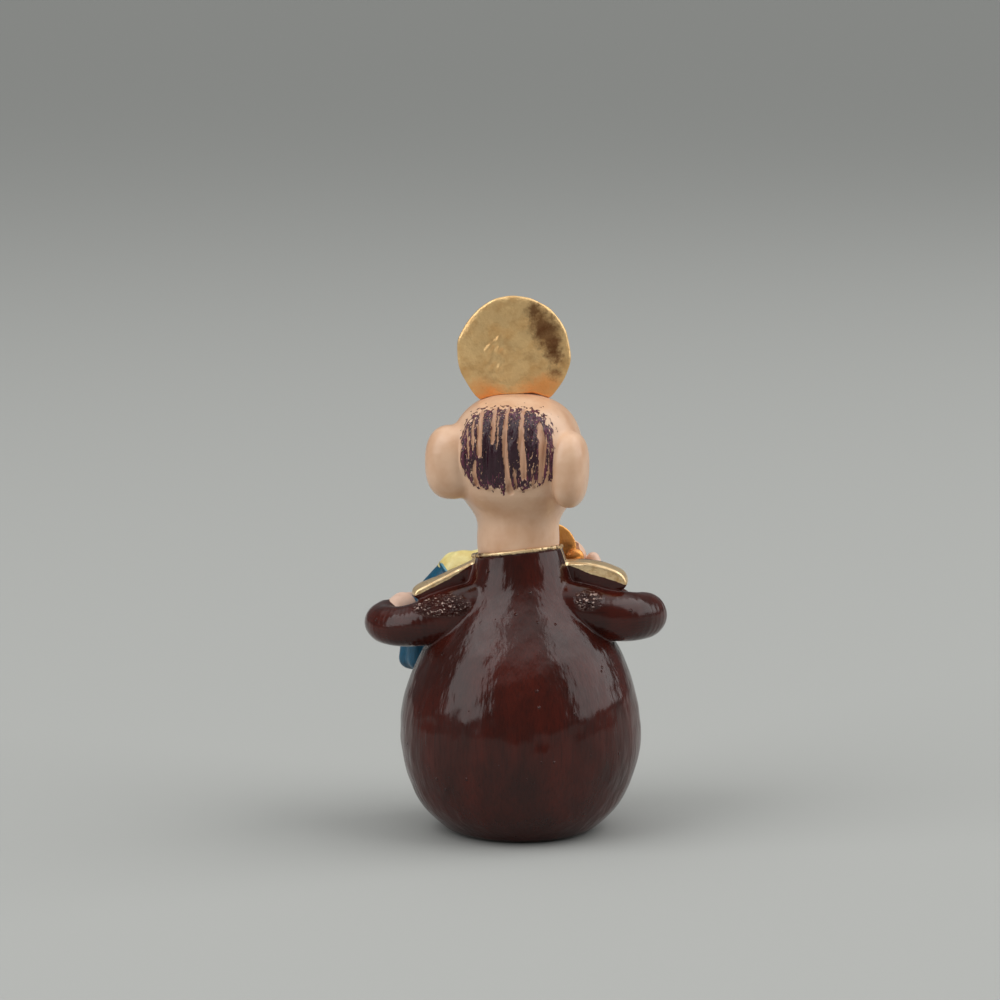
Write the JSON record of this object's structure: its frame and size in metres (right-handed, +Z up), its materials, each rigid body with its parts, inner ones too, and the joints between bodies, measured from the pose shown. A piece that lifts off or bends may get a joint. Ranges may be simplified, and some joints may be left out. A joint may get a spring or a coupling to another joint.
{
  "type": "saint statuette",
  "caption": "Hand-modelled clay saint in a gourd-shaped brown robe, with a round gold halo, holding a small haloed child across the chest.",
  "frame": {"origin": "middle of the flat underside that the figure stands on", "axes": "+Z up along the figure, the figure faces -Y, its left hand is on +X"},
  "size_m": [0.0835, 0.0706, 0.148],
  "materials": {
    "saint_clay": "fired clay, glossy dark red-brown brushed paint on the robe, satin peach skin, dark combed hair, gold trim",
    "halo_gold": "gold leaf or gold paint over clay, slightly dented, darker where it is rubbed",
    "child_clay": "fired clay, glossy teal-blue cloth, pale yellow tunic, satin pink skin, golden-brown hair",
    "small_halo_gold": "gold paint over clay"
  },
  "bodies": {
    "root": {"saint": "saint_clay", "saint_halo": "halo_gold", "child": "child_clay", "child_halo": "small_halo_gold"}
  },
  "joints": []
}
